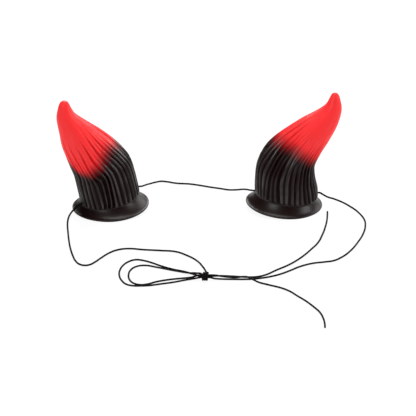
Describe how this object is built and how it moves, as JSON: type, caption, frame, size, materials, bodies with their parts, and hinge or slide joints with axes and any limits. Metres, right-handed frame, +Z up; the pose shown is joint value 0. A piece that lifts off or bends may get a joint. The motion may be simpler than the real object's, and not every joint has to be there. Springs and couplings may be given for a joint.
{
  "type": "latex devil horns on elastic cord",
  "caption": "Curved, fluted, hollow latex devil horns with flared feet, worn on the head on thin elastic cord that ties under the chin.",
  "frame": {"origin": "on the table, under the middle of the box round the two horns", "axes": "+Z up; +X from the left horn to the right one; -Y towards the knot and the viewer"},
  "size_m": [0.3034, 0.3393, 0.1201],
  "materials": {
    "latex": "satin moulded latex, bright red at the tip and airbrushed to near black from the middle down",
    "cord": "fine braided cover over elastic, matt black"
  },
  "bodies": {
    "root": {"horn_left": "latex", "horn_right": "latex", "knot": "cord", "cord_in_left": "cord", "cord_between": "cord", "cord_in_right": "cord", "cord_left_run": "cord", "cord_right_run": "cord", "cord_outer_loop": "cord", "cord_inner_loop": "cord", "cord_end_back": "cord", "cord_end_front": "cord"}
  },
  "joints": []
}
